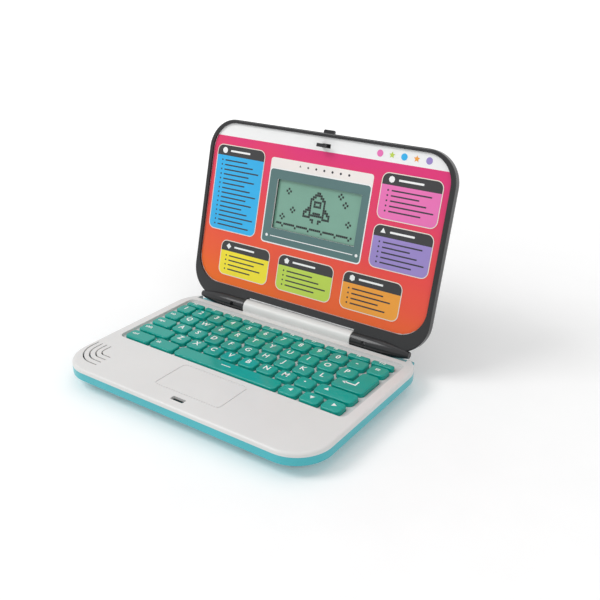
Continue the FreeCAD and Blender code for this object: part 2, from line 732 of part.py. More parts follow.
def knuckle_profile(body):
    """Half of a knuckle's length section: a straight stretch, then an arc that draws in to the outer end."""
    sketch = new_sketch(body, "XY_Plane")
    start = S.barrel_half + S.hinge_gap
    straight, reach = start + S.knuckle_straight, start + S.knuckle_reach
    corners = [(start, ZERO), (start, S.knuckle_radius), (straight, S.knuckle_radius),
               (reach, S.knuckle_end), (reach, ZERO)]
    points = [FreeCAD.Vector(x.number, y.number, 0) for x, y in corners]
    run = points[3].x - points[2].x
    drop = points[2].y - points[3].y
    radius = (run * run + drop * drop) / (2 * drop)
    centre = FreeCAD.Vector(points[2].x, points[2].y - radius, 0)
    middle_x = run / 2
    middle = FreeCAD.Vector(points[2].x + middle_x,
                            centre.y + (radius * radius - middle_x * middle_x) ** 0.5, 0)
    arc = Part.Arc(points[2], middle, points[3])
    sketch.addGeometry([Part.LineSegment(points[0], points[1]), Part.LineSegment(points[1], points[2]), arc,
                        Part.LineSegment(points[3], points[4]), Part.LineSegment(points[4], points[0])])
    relations = [("Coincident", 0, 2, 1, 1), ("Tangent", 1, 2, 2, 2), ("Coincident", 2, 1, 3, 1),
                 ("Coincident", 3, 2, 4, 1), ("Coincident", 4, 2, 0, 1), ("Vertical", 0), ("Vertical", 3),
                 ("Horizontal", 1), ("Horizontal", 4), ("PointOnObject", 0, 1, -1)]
    constrain(sketch, relations,
              [("DistanceX", -1, 1, 0, 1, start), ("DistanceX", 1, 1, 1, 2, S.knuckle_straight),
                                  ("DistanceX", -1, 1, 3, 2, reach),
                                  ("DistanceY", 0, 1, 0, 2, S.knuckle_radius),
                                  ("DistanceY", 3, 2, 3, 1, S.knuckle_end)])
    return sketch


def revolved(body, kind, sketch):
    thing = body.newObject(f"PartDesign::{kind}", f"{body.Name}_{kind.lower()}")
    thing.Profile = sketch
    thing.ReferenceAxis = (sketch, ["H_Axis"])
    thing.Angle = 360
    body.Tip = thing
    return thing


grub_x = S.barrel_half + S.hinge_gap + S.grub_offset


def lid_bezel():
    body = new_body("bezel")
    pad(body, lid_outline(body, 0, lid_split), S.bezel_depth)
    round_edges(body, S.bezel_round, lid_front.number)
    pocket(body, panel_outline(body, 0, lid_front), S.bezel_depth)
    pocket(body, panel_outline(body, S.panel_lap, lid_split), panel_front - lid_split, up=True)
    gap = rounded(body, S.barrel_half * 2 + S.hinge_gap * 2, S.back_start * 2, S.bezel_round, 0, 0, lid_front)
    pocket(body, gap, S.bezel_depth)
    knuckle = revolved(body, "Revolution", knuckle_profile(body))
    mirror(body, [knuckle])
    return body


def bezel_bores():
    """The pin bores along the axis and the stepped screw holes in the knuckles."""
    start = S.barrel_half + S.hinge_gap / 2
    length = S.pin_hold + S.hinge_gap
    radius = S.pin_radius + S.pin_clearance / 2
    tools = [cylinder("pin_bore", radius, length, x, 0, 0, along="X") for x in (start, -start - length)]
    for side in (1, -1):
        tools.append(cylinder("screw_mouth", S.grub_hole, S.knuckle_radius, grub_x * side, 0, S.grub_seat))
        tools.append(cylinder("screw_pilot", S.screw_shank + S.screw_clearance, S.grub_depth, grub_x * side,
                              0,
                              S.grub_seat - S.grub_depth))
    return tools


def lid_back():
    body = new_body("back")
    pad(body, lid_outline(body, 0, lid_rear), S.back_depth)
    round_edges(body, S.back_round, lid_rear.number)
    pocket(body, lid_outline(body, S.back_side, lid_split), S.back_depth - S.back_wall)
    low = rounded(body, S.base_width * 2, S.back_start * 2, S.bezel_round, 0, 0, lid_split)
    pocket(body, low, S.back_depth)
    return body


post_places = [(side * (S.base_width / 2 - S.bezel_side - S.post_inset), y) for side in (1, -1)
               for y in (S.panel_low + S.post_inset, S.lid_height - S.bezel_top - S.post_inset)]


def printed_panel():
    body = new_body("panel")
    pad(body, panel_outline(body, S.panel_lap - S.panel_gap, panel_rear), S.panel_height)
    window = rounded(body, S.window_width, S.window_height, S.window_corner, 0, S.window_middle, panel_front)
    pocket(body, window, S.panel_height)
    return body


def back_floor():
    """The inside face of the back shell's wall."""
    return lid_rear + S.back_wall


display_rear = panel_rear - S.gasket_height - S.glass_height - S.display_board
display_width = S.window_width + S.gasket_wall * 2
display_height = S.window_height + S.gasket_wall * 2
rest_places = [(side * (display_width / 2), S.window_middle + end * (display_height / 2))
               for side in (1, -1) for end in (1, -1)]
grip_low = lid_split - S.latch_gap - S.grip_depth


def finished_panel():
    """The panel with its screw posts and the slot that the latch hook slides in."""
    posts = [cylinder("post", S.post_radius, panel_rear - back_floor(), x, y, back_floor())
             for x, y in post_places]
    pilots = [cylinder("pilot", S.screw_shank + S.screw_clearance, panel_rear - back_floor(), x, y,
                       back_floor())
              for x, y in post_places]
    slot = box("hook_slot",
               (-S.hook_width / 2 - S.latch_gap, S.hook_width / 2 + S.latch_travel + S.latch_gap),
               (hook_y - S.hook_thick / 2 - S.latch_gap, hook_y + S.hook_thick / 2 + S.latch_gap),
               (panel_rear, panel_front))
    return cut("panel_done", fused("panel_posts", [printed_panel()] + posts), pilots + [slot])


def finished_back():
    """The back shell with the rests for the display, its screw holes and the latch grip's slot."""
    rests = [cylinder("rest", S.standoff_radius, display_rear - back_floor(), x, y, back_floor())
             for x, y in rest_places]
    holes = [cylinder("hole", S.screw_shank + S.screw_clearance, S.back_wall, x, y, lid_rear)
             for x, y in post_places]
    sinks = [cylinder("sink", S.screw_head + S.screw_clearance, S.lid_head, x, y, lid_rear)
             for x, y in post_places]
    slot = box("grip_slot",
               (-S.grip_width / 2 - S.latch_gap, S.grip_width / 2 + S.latch_travel + S.latch_gap),
               (S.lid_height - S.back_side * 2, S.lid_height + S.back_side),
               (grip_low - S.latch_gap, lid_split))
    return cut("back_done", fused("back_rests", [lid_back()] + rests), holes + sinks + [slot])


def display_plate(name, width, height, top, thickness, opening=False):
    """A flat plate of the display behind the window, with or without the window through it."""
    body = new_body(name)
    sketch = rounded(body, width, height, S.window_corner, 0, S.window_middle, top)
    if opening:
        draw_rounded(sketch, S.window_width, S.window_height, S.window_corner)
    pad(body, sketch, thickness, down=True)
    return body


def latch():
    """The slider in the lid's top edge: a block, a ribbed grip and a hook with a toe to the right."""
    tip = lid_front + S.hook_reach
    block_low, block_high = back_floor() + S.latch_gap, panel_rear - S.latch_gap
    half, grip = S.hook_width / 2, S.grip_width / 2
    hook_range = (hook_y - S.hook_thick / 2, hook_y + S.hook_thick / 2)
    block_range = (hook_y - S.slider_depth / 2, hook_y + S.slider_depth / 2)
    grip_top = S.lid_height + S.grip_height
    pieces = [box("block", (-S.slider_width / 2, S.slider_width / 2), block_range, (block_low, block_high)),
              box("arm", (-half, half), hook_range, (block_low, tip)),
              box("toe", (-half, half + S.toe_length), hook_range, (tip - S.toe_height, tip)),
              box("grip", (-grip, grip), (hook_y, grip_top), (grip_low, grip_low + S.grip_depth))]
    for index in range(4):
        x = S.grip_width * ((index + 0.5) / 4) - grip
        pieces.append(box("rib", (x - S.rib_width / 2, x + S.rib_width / 2),
                          (grip_top - S.grip_height, grip_top + S.rib_proud),
                          (grip_low, grip_low + S.grip_depth)))
    return fused("slider", pieces)


def hinge_pins():
    start = S.barrel_half - S.pin_hold
    length = S.pin_hold * 2 + S.hinge_gap
    return grouped("pins", [cylinder("pin", S.pin_radius, length, x, 0, 0, along="X")
                            for x in (start, -start - length)])


def lid_screws():
    """Four screws from the back into the panel's posts and one in the front of each knuckle."""
    screws = []
    for x, y in post_places:
        head = cylinder("lid_head", S.screw_head, S.lid_head, x, y, lid_rear)
        shank = cylinder("lid_shank", S.screw_shank, panel_rear - lid_rear - S.lid_head, x, y,
                         lid_rear + S.lid_head)
        screws.append(fused("lid_screw", [head, shank]))
    for side in (1, -1):
        head = cylinder("grub_head", S.grub_head, S.head_height, grub_x * side, 0, S.grub_seat)
        shank = cylinder("grub_shank", S.screw_shank, S.grub_depth - S.latch_gap, grub_x * side, 0,
                         S.grub_seat - S.grub_depth + S.latch_gap)
        screws.append(fused("grub", [head, shank]))
    return grouped("lid_fasteners", screws)


lid_node("lid_bezel", cut("bezel_done", lid_bezel(), bezel_bores()))
lid_node("lid_back", finished_back())
lid_node("printed_panel", finished_panel())
lid_node("display_gasket",
         display_plate("gasket", display_width, display_height, panel_rear, S.gasket_height, True))
lid_node("display_glass",
         display_plate("glass", display_width, display_height, panel_rear - S.gasket_height, S.glass_height))
lid_node("display_board",
         display_plate("rear_board", display_width + S.display_lap * 2, display_height + S.display_lap,
                                        display_rear + S.display_board, S.display_board))
lid_node("lid_latch", latch())
lid_node("hinge_pins", hinge_pins())
lid_node("lid_screws", lid_screws())


# The frame's origin goes under the middle of the open laptop, and each piece is checked and written out

doc.recompute()
lid_box = nodes["lid_back"].Shape.optimalBoundingBox(False, False)
frame.set("B1", str(round((S.base_front.number - lid_box.YMax) / 2, 3)))
doc.recompute()
faults = [thing.Label for thing in doc.Objects if "Invalid" in thing.State or "Error" in thing.State]
faults += [label for label, thing in nodes.items() if thing.Shape.isNull() or not thing.Shape.isValid()]
if faults:
    raise RuntimeError(f"pieces with faults: {faults}")
os.makedirs("parts", exist_ok=True)
for label, thing in nodes.items():
    thing.Shape.exportStep(os.path.join("parts", f"{label}.step"))
    print(label, len(thing.Shape.Solids), round(thing.Shape.Volume), thing.Shape.BoundBox)
print("shift", frame.get("shift"))
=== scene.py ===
import json
import math

import bmesh
import bpy
from mathutils import Matrix, Vector


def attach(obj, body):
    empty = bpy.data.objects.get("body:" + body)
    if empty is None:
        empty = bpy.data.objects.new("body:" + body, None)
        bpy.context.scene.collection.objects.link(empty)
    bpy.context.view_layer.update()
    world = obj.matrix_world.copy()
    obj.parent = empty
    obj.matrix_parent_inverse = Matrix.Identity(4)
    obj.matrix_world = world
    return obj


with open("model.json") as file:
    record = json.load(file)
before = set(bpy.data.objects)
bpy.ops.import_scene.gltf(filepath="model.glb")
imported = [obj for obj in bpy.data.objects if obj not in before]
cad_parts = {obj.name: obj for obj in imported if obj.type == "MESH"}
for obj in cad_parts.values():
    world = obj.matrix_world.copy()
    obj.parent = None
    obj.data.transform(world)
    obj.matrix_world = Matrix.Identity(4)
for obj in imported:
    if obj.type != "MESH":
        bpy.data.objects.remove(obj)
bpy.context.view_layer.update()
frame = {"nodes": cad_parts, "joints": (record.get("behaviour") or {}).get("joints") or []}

MM = 0.001

# The lid's own frame: origin on the hinge axis, Y up the lid, Z out of its front
HINGE = next(joint for joint in frame["joints"] if joint["name"] == "lid_hinge")
LID_TILT = math.radians(75)
LID_MATRIX = Matrix.Translation(Vector(HINGE["pos_m"])) @ Matrix.Rotation(LID_TILT, 4, "X")
BASE_MATRIX = Matrix.Identity(4)


def box_of(points):
    """The lowest and highest corner of the box around some points."""
    return tuple(Vector(pick(point[axis] for point in points) for axis in range(3)) for pick in (min, max))


def lid_box(node):
    """The lowest and highest corner of a CAD node in the lid's frame, in millimetres."""
    turn = LID_MATRIX.inverted()
    return box_of([turn @ corner.co / MM for corner in frame["nodes"][node].data.vertices])


# Places on the lid, in millimetres of its frame
PANEL_LAP = 1.6
PANEL_CORNER = 25.8
PANEL_MIN, PANEL_MAX = lid_box("printed_panel")
PANEL_LEFT, PANEL_LOW = PANEL_MIN.x + PANEL_LAP, PANEL_MIN.y + PANEL_LAP
PANEL_RIGHT, PANEL_TOP = PANEL_MAX.x - PANEL_LAP, PANEL_MAX.y - PANEL_LAP
SHEET_WIDTH, SHEET_HEIGHT = PANEL_RIGHT - PANEL_LEFT, PANEL_TOP
BAND_HEIGHT = 13
BAND_LOW = PANEL_TOP - BAND_HEIGHT

GASKET_WALL = 4
GASKET_MIN, GASKET_MAX = lid_box("display_gasket")
WINDOW_LEFT, WINDOW_LOW = GASKET_MIN.x + GASKET_WALL, GASKET_MIN.y + GASKET_WALL
WINDOW_RIGHT, WINDOW_TOP = GASKET_MAX.x - GASKET_WALL, GASKET_MAX.y - GASKET_WALL
WINDOW = (WINDOW_LEFT, WINDOW_LOW, WINDOW_RIGHT, WINDOW_TOP)

MARGIN_LEFT, MARGIN_LOW, MARGIN_RIGHT, MARGIN_TOP = 10.5, 15.3, 9, 10.3
SURROUND_LEFT, SURROUND_LOW = WINDOW_LEFT - MARGIN_LEFT, WINDOW_LOW - MARGIN_LOW
SURROUND_RIGHT, SURROUND_TOP = WINDOW_RIGHT + MARGIN_RIGHT, WINDOW_TOP + MARGIN_TOP
STRIP_HEIGHT = 9.5
STRIP_TOP = SURROUND_TOP + STRIP_HEIGHT

HOOK_LEFT, HOOK_RIGHT, HOOK_HALF = -3.3, 6.3, 1.9
HOOK_FROM_TOP = 11.5
HOOK_Y = lid_box("lid_bezel")[1].y - HOOK_FROM_TOP
HOOK_SLOT = (HOOK_LEFT, HOOK_Y - HOOK_HALF, HOOK_RIGHT, HOOK_Y + HOOK_HALF)

FILM_GAP = 0.06
FILM = PANEL_MAX.z + FILM_GAP


# Node materials

COAT_ROUGHNESS = 0.12
NOISE_LOW, NOISE_HIGH = 0.3, 0.7
DRIFT_SCALE = 22.0
GLOSS_SPREAD = 0.15
SKIN_DEPTH = 0.2 * MM
PRINT_COAT, PRINT_SHINE = 0.1, 0.25
WAVE_SCALE, WAVE_SHARE = 3.0, 0.35


def new_material(name, roughness, coat=0.0, shine=0.5):
    """A material with a principled shader, and its node tree and shader."""
    material = bpy.data.materials.new(name)
    material.use_nodes = True
    shader = material.node_tree.nodes["Principled BSDF"]
    shader.inputs["Roughness"].default_value = roughness
    shader.inputs["Specular IOR Level"].default_value = shine
    shader.inputs["Coat Weight"].default_value = coat
    shader.inputs["Coat Roughness"].default_value = COAT_ROUGHNESS
    return material, material.node_tree, shader


def add_node(tree, kind, **values):
    """A shader node with the input values given by socket name."""
    node = tree.nodes.new(kind)
    for socket, value in values.items():
        node.inputs[socket.replace("_", " ")].default_value = value
    return node


def noise(tree, scale, detail=3.0):
    """Noise over the object's own coordinates, which don't move with a pose."""
    place = tree.nodes.new("ShaderNodeTexCoord")
    node = add_node(tree, "ShaderNodeTexNoise", Scale=scale, Detail=detail)
    tree.links.new(place.outputs["Object"], node.inputs["Vector"])
    return node


def colour_ramp(tree, stops):
    """A colour ramp with stops of (position, colour), from low to high."""
    node = tree.nodes.new("ShaderNodeValToRGB")
    spots = node.color_ramp.elements
    while len(spots) < len(stops):
        spots.new(1.0)
    for spot, (position, colour) in zip(spots, stops):
        spot.position = position
        spot.color = (*colour, 1)
    return node


def plastic(name, colour, roughness, grain=0.05, coat=0.0, bump=0.04, scale=900.0, shine=0.5):
    """Moulded plastic: slow colour drift, uneven gloss and a fine skin."""
    material, tree, shader = new_material(name, roughness, coat, shine)
    drift = noise(tree, DRIFT_SCALE)
    darker = tuple(part * (1 - grain) for part in colour)
    lighter = tuple(min(1.0, part * (1 + grain)) for part in colour)
    tint = colour_ramp(tree, [(NOISE_LOW, darker), (NOISE_HIGH, lighter)])
    tree.links.new(drift.outputs["Fac"], tint.inputs["Fac"])
    tree.links.new(tint.outputs["Color"], shader.inputs["Base Color"])
    skin = noise(tree, scale, detail=2.0)
    gloss = add_node(tree, "ShaderNodeMapRange", From_Min=NOISE_LOW, From_Max=NOISE_HIGH,
                     To_Min=roughness * (1 - GLOSS_SPREAD), To_Max=roughness * (1 + GLOSS_SPREAD))
    tree.links.new(skin.outputs["Fac"], gloss.inputs["Value"])
    tree.links.new(gloss.outputs["Result"], shader.inputs["Roughness"])
    relief = add_node(tree, "ShaderNodeBump", Strength=bump, Distance=SKIN_DEPTH)
    tree.links.new(skin.outputs["Fac"], relief.inputs["Height"])
    tree.links.new(relief.outputs["Normal"], shader.inputs["Normal"])
    return material


def metal(name, colour, roughness):
    """Bright metal with fine scratches."""
    material = plastic(name, colour, roughness, grain=0.08, bump=0.08, scale=2500.0)
    material.node_tree.nodes["Principled BSDF"].inputs["Metallic"].default_value = 1.0
    return material


def sheet_gradient(name, stops, slant, roughness=0.3):
    """Printed film whose colour runs across the sheet in soft waves."""
    material, tree, shader = new_material(name, roughness, PRINT_COAT, PRINT_SHINE)
    place = tree.nodes.new("ShaderNodeUVMap")
    place.uv_map = "sheet"
    along = tree.nodes.new("ShaderNodeVectorMath")
    along.operation = "DOT_PRODUCT"
    along.inputs[1].default_value = (*slant, 0)
    tree.links.new(place.outputs["UV"], along.inputs[0])
    wave = add_node(tree, "ShaderNodeTexNoise", Scale=WAVE_SCALE, Detail=1.0)
    tree.links.new(place.outputs["UV"], wave.inputs["Vector"])
    drift = tree.nodes.new("ShaderNodeMath")
    drift.operation = "MULTIPLY_ADD"
    drift.inputs[1].default_value = WAVE_SHARE
    tree.links.new(wave.outputs["Fac"], drift.inputs[0])
    tree.links.new(along.outputs["Value"], drift.inputs[2])
    tint = colour_ramp(tree, stops)
    tree.links.new(drift.outputs["Value"], tint.inputs["Fac"])
    tree.links.new(tint.outputs["Color"], shader.inputs["Base Color"])
    return material


WHITE = plastic("cover_white", (0.75, 0.745, 0.735), 0.36, grain=0.02, coat=0.1)
TEAL = plastic("shell_teal", (0.05, 0.48, 0.54), 0.32, coat=0.2)
KEY = plastic("key_teal", (0.0, 0.345, 0.285), 0.13, bump=0.004, scale=400.0, shine=0.3)
GREY = plastic("plate_grey", (0.60, 0.61, 0.61), 0.45, grain=0.04)
BLACK = plastic("lid_black", (0.022, 0.022, 0.024), 0.2, grain=0.15, coat=0.15, bump=0.015, shine=0.32)
RUBBER = plastic("rubber_black", (0.03, 0.03, 0.03), 0.75, grain=0.2, bump=0.2)
STEEL = metal("steel", (0.62, 0.62, 0.64), 0.3)
BOARD = plastic("board_green", (0.03, 0.16, 0.06), 0.5, grain=0.2)
PAPER = plastic("print_white", (0.93, 0.93, 0.93), 0.35, grain=0.02, coat=0.1)
LEGEND = plastic("legend_white", (0.90, 0.93, 0.92), 0.45, grain=0.03)
# Dark ink for the card lines, strip dots and cells, also used as painted shade in the screw recesses
INK_AND_SHADE = plastic("print_ink_and_shade", (0.02, 0.02, 0.03), 0.45, grain=0.2)
SURROUND = plastic("surround_grey", (0.085, 0.175, 0.175), 0.4, grain=0.06, coat=0.1)
DISPLAY = plastic("display_grey", (0.19, 0.39, 0.30), 0.16, grain=0.06, coat=0.4, bump=0.01, scale=300.0)
PIXEL = plastic("display_pixel", (0.012, 0.02, 0.018), 0.3, grain=0.1)
PRINT = sheet_gradient("panel_print", [(0.25, (0.94, 0.165, 0.014)), (0.6, (0.86, 0.075, 0.07)),
                                       (0.95, (0.78, 0.04, 0.2))], slant=(0.15, 0.75))
STRIP = plastic("strip_peach", (0.92, 0.86, 0.83), 0.4, grain=0.03)
HEAD = plastic("card_head", (0.022, 0.022, 0.024), 0.4, grain=0.1, coat=0.1)
CARD_EDGE = plastic("card_edge", (0.90, 0.80, 0.72), 0.4, grain=0.03)
CARD_COLOURS = {"orange": (0.92, 0.36, 0.035), "lime": (0.53, 0.69, 0.08), "pink": (0.85, 0.17, 0.48),
                "lilac": (0.33, 0.245, 0.60), "yellow": (0.97, 0.80, 0.025), "cyan": (0.022, 0.45, 0.86)}
CARDS = {name: plastic(f"card_{name}", colour, 0.4, grain=0.04, coat=0.1)
         for name, colour in CARD_COLOURS.items()}

KEY_NODES = [name for name in frame["nodes"] if name.startswith("key_") or name.endswith("_keys")]
FINISHES = {
    "bottom_shell": TEAL, "battery_door": TEAL, "top_cover": WHITE, "keyboard_plate": GREY, "dome_mat": PAPER,
    "main_board": BOARD, "display_board": BOARD, "speaker": RUBBER, "battery_cells": INK_AND_SHADE,
    "battery_contacts": STEEL, "case_screws": STEEL, "hinge_pins": STEEL, "lid_screws": STEEL,
    "rubber_feet": RUBBER, "lid_bezel": BLACK, "lid_back": BLACK, "lid_latch": BLACK, "printed_panel": PAPER,
    "display_gasket": RUBBER, "display_glass": DISPLAY,
}
FINISHES.update({name: KEY for name in KEY_NODES})


def finish_cad():
    """Gives each CAD node its material."""
    for name, material in FINISHES.items():
        mesh = frame["nodes"][name].data
        mesh.materials.clear()
        mesh.materials.append(material)


# Flat printed shapes: loops of points in millimetres, filled and laid on a plane

def rounded(cx, cy, width, height, radius, steps=6):
    """A rectangle with round corners about a middle, as a loop of points."""
    loop = []
    for quarter, (side_x, side_y) in enumerate(((1, 1), (-1, 1), (-1, -1), (1, -1))):
        for step in range(steps + 1):
            angle = math.pi / 2 * (quarter + step / steps)
            loop.append((cx + side_x * (width / 2 - radius) + radius * math.cos(angle),
                         cy + side_y * (height / 2 - radius) + radius * math.sin(angle)))
    return loop


def spanned(left, low, right, top, radius):
    """A rectangle with round corners between four sides."""
    return rounded((left + right) / 2, (low + top) / 2, right - left, top - low, radius)


def regular(cx, cy, radius, count, inner=None, turn=90.0):
    """A circle or polygon, or a star where an inner radius is given."""
    total = count * (2 if inner else 1)
    loop = []
    for spot in range(total):
        reach = inner if inner and spot % 2 else radius
        angle = math.radians(turn) + math.tau * spot / total
        loop.append((cx + reach * math.cos(angle), cy + reach * math.sin(angle)))
    return loop


def clipped(loop, axis, limit, above):
    """The part of a loop on one side of a limit along an axis."""
    def inside(point):
        return (point[axis] >= limit) == above

    kept = []
    for start, end in zip(loop, loop[1:] + loop[:1]):
        if inside(start):
            kept.append(start)
        if inside(start) != inside(end):
            share = (limit - start[axis]) / (end[axis] - start[axis])
            kept.append(tuple(a + (b - a) * share for a, b in zip(start, end)))
    return kept


def around(loop, left, low, right, top):
    """The loop less a box in it, as four loops."""
    middle = clipped(clipped(loop, 0, left, True), 0, right, False)
    return [clipped(loop, 0, left, False), clipped(loop, 0, right, True),
            clipped(middle, 1, low, False), clipped(middle, 1, top, True)]


def lay(name, loops, height, material, matrix, body, rise=0.0):
    """Lays filled loops on a plane at a height as one piece, raised to bars where a rise is given."""
    builder = bmesh.new()
    uv = builder.loops.layers.uv.new("sheet")
    for loop in loops:
        face = builder.faces.new([builder.verts.new((x * MM, y * MM, height * MM)) for x, y in loop])
        for corner in face.loops:
            corner[uv].uv = (corner.vert.co.x / MM / SHEET_WIDTH + 0.5, corner.vert.co.y / MM / SHEET_HEIGHT)
    if rise:
        raised = bmesh.ops.extrude_face_region(builder, geom=builder.faces[:])["geom"]
        tops = [part for part in raised if isinstance(part, bmesh.types.BMVert)]
        bmesh.ops.translate(builder, verts=tops, vec=(0, 0, rise * MM))
        bmesh.ops.recalc_face_normals(builder, faces=builder.faces[:])
    mesh = bpy.data.meshes.new(name)
    builder.to_mesh(mesh)
    builder.free()
    mesh.transform(matrix)
    mesh.materials.append(material)
    thing = bpy.data.objects.new(name, mesh)
    bpy.context.scene.collection.objects.link(thing)
    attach(thing, body)
    return thing


def solid_boxes(node, matrix=BASE_MATRIX):
    """The box of each separate solid of a CAD node from left to right, in millimetres of a frame."""
    copy = bmesh.new()
    copy.from_mesh(frame["nodes"][node].data)
    bmesh.ops.remove_doubles(copy, verts=copy.verts, dist=MM / 1000)
    turn = matrix.inverted()
    waiting = set(copy.verts)
    boxes = []
    while waiting:
        reached = [waiting.pop()]
        for vert in reached:
            near = {edge.other_vert(vert) for edge in vert.link_edges} & waiting
            waiting -= near
            reached.extend(near)
        boxes.append(box_of([turn @ vert.co / MM for vert in reached]))
    copy.free()
    return sorted(boxes, key=lambda box: box[0].x)


# Key legends, in millimetres

WORDS = {"key_tab": "tab", "key_caps": "caps", "key_shift_left": "shift", "key_control": "ctrl",
         "key_alt": "alt"}
ROWS = {"number_keys": list("1234567890-="), "function_keys": [f"F{index}" for index in range(1, 11)]}
ARROWS = {"key_left": 180, "key_down": 270, "key_right": 0, "key_shift_right": 90}
KEY_PITCH = 20.0
LETTER_SIZE, WORD_SIZE, FUNCTION_SIZE = 8.2, 4.8, 4.2
LETTER_WEIGHT = 0.02
LEGEND_GAP = 0.03
LEGEND_LEFT, LEGEND_UP = 0.9, 0.8
WORD_INSET = 4.2
ARROW_RADIUS = 2.6
ENTER_ARM, ENTER_RISE, ENTER_LINE = 11.0, 6.0, 1.5
SPACE_LENGTH, SPACE_LINE, SPACE_ROUND = KEY_PITCH / 2, 0.9, 0.4
POINT_RADIUS, POINT_SIDES = 0.9, 12


def write(text, size, x, y, height, align, body):
    """Flat white lettering on a key, about a point or to the right of it."""
    curve = bpy.data.curves.new("legend", "FONT")
    curve.body = text
    curve.size = size * MM
    curve.offset = size * MM * LETTER_WEIGHT
    curve.align_x = align
    curve.align_y = "CENTER"
    curve.resolution_u = 4
    holder = bpy.data.objects.new("legend", curve)
    bpy.context.scene.collection.objects.link(holder)
    mesh = bpy.data.meshes.new_from_object(holder.evaluated_get(bpy.context.evaluated_depsgraph_get()))
    bpy.data.objects.remove(holder)
    mesh.transform(Matrix.Translation((x * MM, y * MM, height * MM)))
    mesh.materials.clear()
    mesh.materials.append(LEGEND)
    thing = bpy.data.objects.new(f"legend_{body}", mesh)
    bpy.context.scene.collection.objects.link(thing)
    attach(thing, body)
    return thing


def draw(name, loops, height, body):
    """A flat white sign on a key."""
    return lay(name, loops, height, LEGEND, BASE_MATRIX, body)


def enter_arrow(x, y):
    """A hooked arrow: a foot with a head at its left end and a post at its right."""
    half = ENTER_LINE / 2
    left, right = x - ENTER_ARM / 2, x + ENTER_ARM / 2
    return [spanned(left, y - half, right, y + half, half / 2),
            spanned(right - ENTER_LINE, y + half, right, y + ENTER_RISE, half / 2),
            regular(left, y, ARROW_RADIUS, 3, turn=180)]


def key_legends():
    """White legends on the key tops, a little up and left of the middle."""
    for node in KEY_NODES:
        texts = ROWS.get(node, [WORDS.get(node, node[-1].upper())])
        size = FUNCTION_SIZE if node == "function_keys" else LETTER_SIZE
        for text, (low, high) in zip(texts, solid_boxes(node)):
            top = high.z + LEGEND_GAP
            x, y = (low.x + high.x) / 2 - LEGEND_LEFT, (low.y + high.y) / 2 + LEGEND_UP
            if node == "key_enter":
                draw("legend_enter", enter_arrow(x, low.y + KEY_PITCH / 2), top, node)
            elif node == "key_space":
                draw("legend_space", [rounded(x, y, SPACE_LENGTH, SPACE_LINE, SPACE_ROUND)], top, node)
            elif node in ARROWS:
                arrow = regular(low.x + KEY_PITCH / 2, y, ARROW_RADIUS, 3, turn=ARROWS[node])
                draw(f"legend_{node}", [arrow], top, node)
            elif node in WORDS:
                write(text, WORD_SIZE, low.x + WORD_INSET, y, top, "LEFT", node)
            elif node == "key_point":
                draw("legend_point", [regular(x, y, POINT_RADIUS, POINT_SIDES)], top, node)
            else:
                write(text, size, x, y, top, "CENTER", node)


# Lid print, in millimetres

SURROUND_BORDER, SURROUND_CORNER = 1.2, 4
INNER_CORNER = 3
STRIP_LAP, STRIP_CORNER = 5, 3
STRIP_MARKS, STRIP_MARK_INSET, STRIP_MARK_PITCH, STRIP_MARK_RADIUS = 7, 34, 9, 1.2
RULE_HALF, RULE_ROUND = 0.4, 0.3
RULE_MARK_GAP, RULE_MARK_RADIUS, RULE_MARK_SIDES = 4, 1.5, 16
BADGES = ("pink", "lime", "cyan", "orange", "lilac")
BADGE_X, BADGE_PITCH, BADGE_UP, BADGE_RADIUS, BADGE_SIDES = 58, 12, 6.4, 3.1, 20
STAR_POINTS, STAR_INNER = 5, 1.5


def on_lid(name, loops, layer, material):
    """Lays printed shapes on the panel, a film's thickness up for each layer."""
    return lay(name, loops, FILM + FILM_GAP * layer, material, LID_MATRIX, "lid")


def lid_print():
    """The gradient sheet, the pale top band and the display's surround."""
    whole = spanned(PANEL_LEFT, PANEL_LOW, PANEL_RIGHT, PANEL_TOP, PANEL_CORNER)
    on_lid("sheet", around(clipped(whole, 1, BAND_LOW, False), *WINDOW), 0, PRINT)
    on_lid("band", around(clipped(whole, 1, BAND_LOW, True), *HOOK_SLOT), 0, PAPER)
    strip = spanned(SURROUND_LEFT, SURROUND_TOP - STRIP_LAP, SURROUND_RIGHT, STRIP_TOP, STRIP_CORNER)
    on_lid("strip", [strip], 1, STRIP)
    border = spanned(SURROUND_LEFT, SURROUND_LOW, SURROUND_RIGHT, SURROUND_TOP, SURROUND_CORNER)
    on_lid("surround_border", around(border, *WINDOW), 2, PAPER)
    inner = spanned(SURROUND_LEFT + SURROUND_BORDER, SURROUND_LOW + SURROUND_BORDER,
                    SURROUND_RIGHT - SURROUND_BORDER, SURROUND_TOP - SURROUND_BORDER, INNER_CORNER)
    on_lid("surround", around(inner, *WINDOW), 3, SURROUND)
    rule_y = (SURROUND_LOW + WINDOW_LOW) / 2
    rule = spanned(WINDOW_LEFT, rule_y - RULE_HALF, WINDOW_RIGHT, rule_y + RULE_HALF, RULE_ROUND)
    on_lid("rule", [rule], 4, PAPER)
    on_lid("rule_marks", [regular(x, rule_y, RULE_MARK_RADIUS, RULE_MARK_SIDES)
                          for x in (WINDOW_LEFT - RULE_MARK_GAP, WINDOW_RIGHT + RULE_MARK_GAP)], 4, PAPER)
    strip_y = (SURROUND_TOP + STRIP_TOP) / 2
    on_lid("strip_dots", [regular(SURROUND_LEFT + STRIP_MARK_INSET + spot * STRIP_MARK_PITCH, strip_y,
                                  STRIP_MARK_RADIUS, 3 + spot) for spot in range(STRIP_MARKS)], 2, INK_AND_SHADE)


def badges():
    """A row of plain dots and stars at the right end of the top band."""
    for spot, name in enumerate(BADGES):
        x, y = BADGE_X + spot * BADGE_PITCH, BAND_LOW + BADGE_UP
        count, inner = (STAR_POINTS, STAR_INNER) if spot % 2 else (BADGE_SIDES, None)
        on_lid(f"badge_{name}", [regular(x, y, BADGE_RADIUS, count, inner)], 2, CARDS[name])


